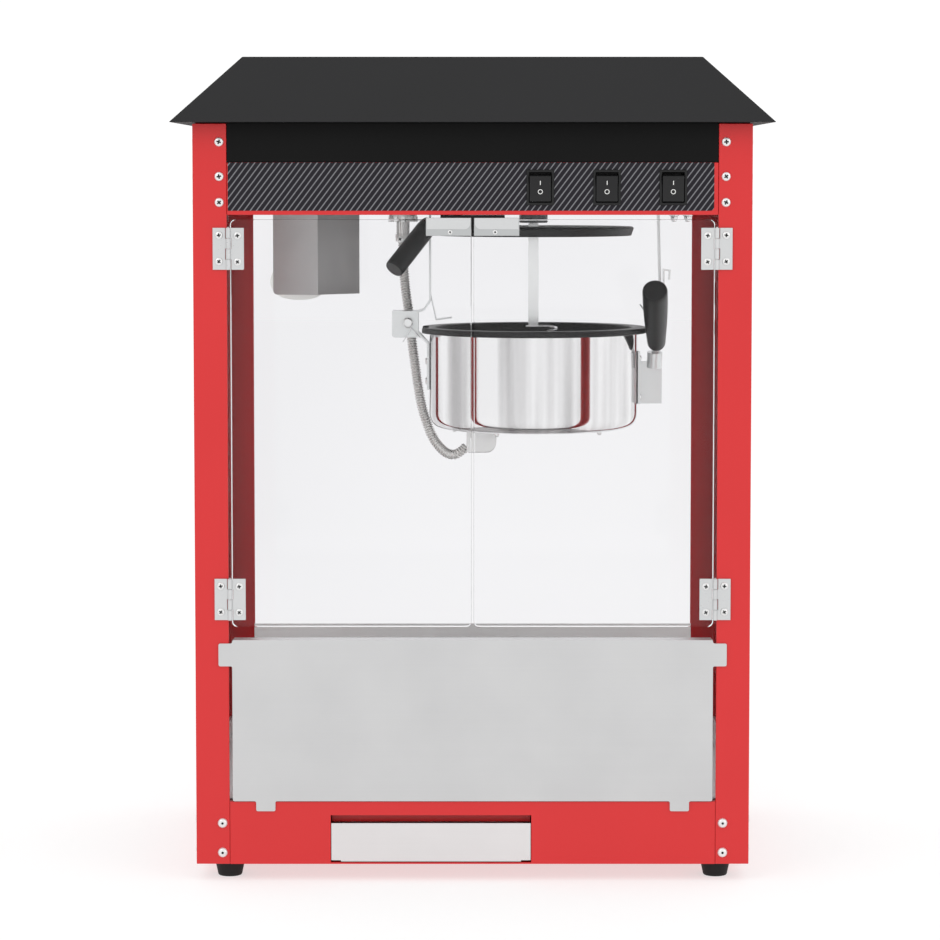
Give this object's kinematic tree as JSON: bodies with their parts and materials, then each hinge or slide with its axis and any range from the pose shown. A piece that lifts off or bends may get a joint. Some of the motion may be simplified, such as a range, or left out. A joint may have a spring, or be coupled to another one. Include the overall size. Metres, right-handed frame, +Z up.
{
  "type": "popcorn maker",
  "caption": "Countertop popcorn machine: glazed cabinet with two doors, tipping kettle with driven stirrer, raised lid, lamp, pull-out front panel and kernel drawer.",
  "frame": {"origin": "on the surface it stands on, under the middle of the cabinet", "axes": "+Z up; -Y is the operator's side with the doors; +X to the operator's right"},
  "size_m": [0.56, 0.42, 0.774],
  "materials": {
    "red_paint": "smooth semi-gloss powder coat",
    "black_paint": "matte powder coat",
    "black_plastic": "satin moulded plastic",
    "rocker_plastic": "satin moulded plastic",
    "pan_coating": "non-stick coating, satin",
    "sheet_steel": "cold-rolled stainless, fine grain",
    "kettle_steel": "mirror-polished stainless",
    "zinc_plate": "bright zinc plate",
    "foot_rubber": "moulded",
    "clear_sheet": "clear",
    "lamp_glass": "frosted"
  },
  "bodies": {
    "cabinet": {"front_left_foot": "foot_rubber", "front_right_foot": "foot_rubber", "rear_left_foot": "foot_rubber", "rear_right_foot": "foot_rubber", "front_left_post": "red_paint", "front_right_post": "red_paint", "rear_left_post": "red_paint", "rear_right_post": "red_paint", "base_pan": "red_paint", "popcorn_deck": "sheet_steel", "left_window": "clear_sheet", "right_window": "clear_sheet", "rear_window": "clear_sheet", "control_rail": "red_paint", "fascia_band": "black_paint", "roof_cover": "black_paint", "ceiling_plate": "sheet_steel", "cable_gland": "black_plastic", "magnet_catch": "black_plastic", "gearmotor": "black_plastic", "left_hanger": "sheet_steel", "kettle_pivot_pin": "sheet_steel", "right_hanger": "sheet_steel", "conduit_connector": "zinc_plate", "kettle_conduit": "zinc_plate", "lamp_guard": "sheet_steel", "lamp_bulb": "lamp_glass", "lamp_holder": "black_plastic", "upper_left_post_leaf": "zinc_plate", "upper_right_post_leaf": "zinc_plate", "lower_left_post_leaf": "zinc_plate", "lower_right_post_leaf": "zinc_plate", "light_switch_housing": "black_plastic", "heat_switch_housing": "black_plastic", "stir_switch_housing": "black_plastic"},
    "left_door": {"left_door": "clear_sheet", "left_door_strike": "zinc_plate", "upper_left_door_leaf": "zinc_plate", "lower_left_door_leaf": "zinc_plate"},
    "right_door": {"right_door": "clear_sheet", "right_door_strike": "zinc_plate", "upper_right_door_leaf": "zinc_plate", "lower_right_door_leaf": "zinc_plate"},
    "front_panel": {"front_panel": "sheet_steel"},
    "kernel_drawer": {"kernel_drawer": "sheet_steel"},
    "light_rocker": {"light_rocker": "rocker_plastic"},
    "heat_rocker": {"heat_rocker": "rocker_plastic"},
    "stir_rocker": {"stir_rocker": "rocker_plastic"},
    "stirrer_drive": {"drive_shaft": "sheet_steel"},
    "lid": {"kettle_lid": "pan_coating", "lid_tang": "sheet_steel", "lid_grip": "black_plastic"},
    "hanger_latch": {"hanger_latch": "sheet_steel"},
    "kettle": {"kettle_shell": "kettle_steel", "kettle_pan": "pan_coating", "terminal_cap": "sheet_steel", "kettle_ear": "sheet_steel", "handle_bracket": "sheet_steel", "kettle_grip": "black_plastic"},
    "agitator": {"agitator": "kettle_steel"}
  },
  "joints": [
    {"name": "left_door_hinge", "type": "hinge", "parent": "cabinet", "child": "left_door", "pos_m": [-0.227, -0.19255, 0.431], "axis": [0, 0, -1], "range_deg": [0, 120]},
    {"name": "right_door_hinge", "type": "hinge", "parent": "cabinet", "child": "right_door", "pos_m": [0.227, -0.19255, 0.431], "axis": [0, 0, 1], "range_deg": [0, 120]},
    {"name": "front_panel_pull", "type": "slide", "parent": "cabinet", "child": "front_panel", "axis": [0, -1, 0], "range_m": [0, 0.06]},
    {"name": "drawer_slide", "type": "slide", "parent": "cabinet", "child": "kernel_drawer", "axis": [0, -1, 0], "range_m": [0, 0.19]},
    {"name": "light_switch", "type": "hinge", "parent": "cabinet", "child": "light_rocker", "pos_m": [0.0628, -0.186, 0.6518], "axis": [-1, 0, 0], "range_deg": [0, 16]},
    {"name": "heat_switch", "type": "hinge", "parent": "cabinet", "child": "heat_rocker", "pos_m": [0.1247, -0.186, 0.6518], "axis": [-1, 0, 0], "range_deg": [0, 16]},
    {"name": "stir_switch", "type": "hinge", "parent": "cabinet", "child": "stir_rocker", "pos_m": [0.1862, -0.186, 0.6518], "axis": [-1, 0, 0], "range_deg": [0, 16]},
    {"name": "stirrer_spin", "type": "hinge", "parent": "cabinet", "child": "stirrer_drive", "pos_m": [0.06, 0, 0.616], "axis": [0, 0, 1], "continuous": true},
    {"name": "lid_lower", "type": "slide", "parent": "cabinet", "child": "lid", "axis": [0, 0, -1], "range_m": [0, 0.0725]},
    {"name": "latch_pivot", "type": "hinge", "parent": "cabinet", "child": "hanger_latch", "pos_m": [0.1893, 0.016, 0.564], "axis": [0, -1, 0], "range_deg": [0, 12], "stiffness_Nm_per_rad": 0.1},
    {"name": "kettle_tip", "type": "hinge", "parent": "cabinet", "child": "kettle", "pos_m": [-0.0636, 0, 0.5186], "axis": [0, 1, 0], "range_deg": [0, 92], "deforming": ["kettle_conduit"]},
    {"name": "agitator_spin", "type": "hinge", "parent": "kettle", "child": "agitator", "pos_m": [0.06, 0, 0.43], "axis": [0, 0, 1], "continuous": true}
  ],
  "couplings": [
    {"joint": "stirrer_spin", "follows": "agitator_spin", "ratio": 1}
  ]
}
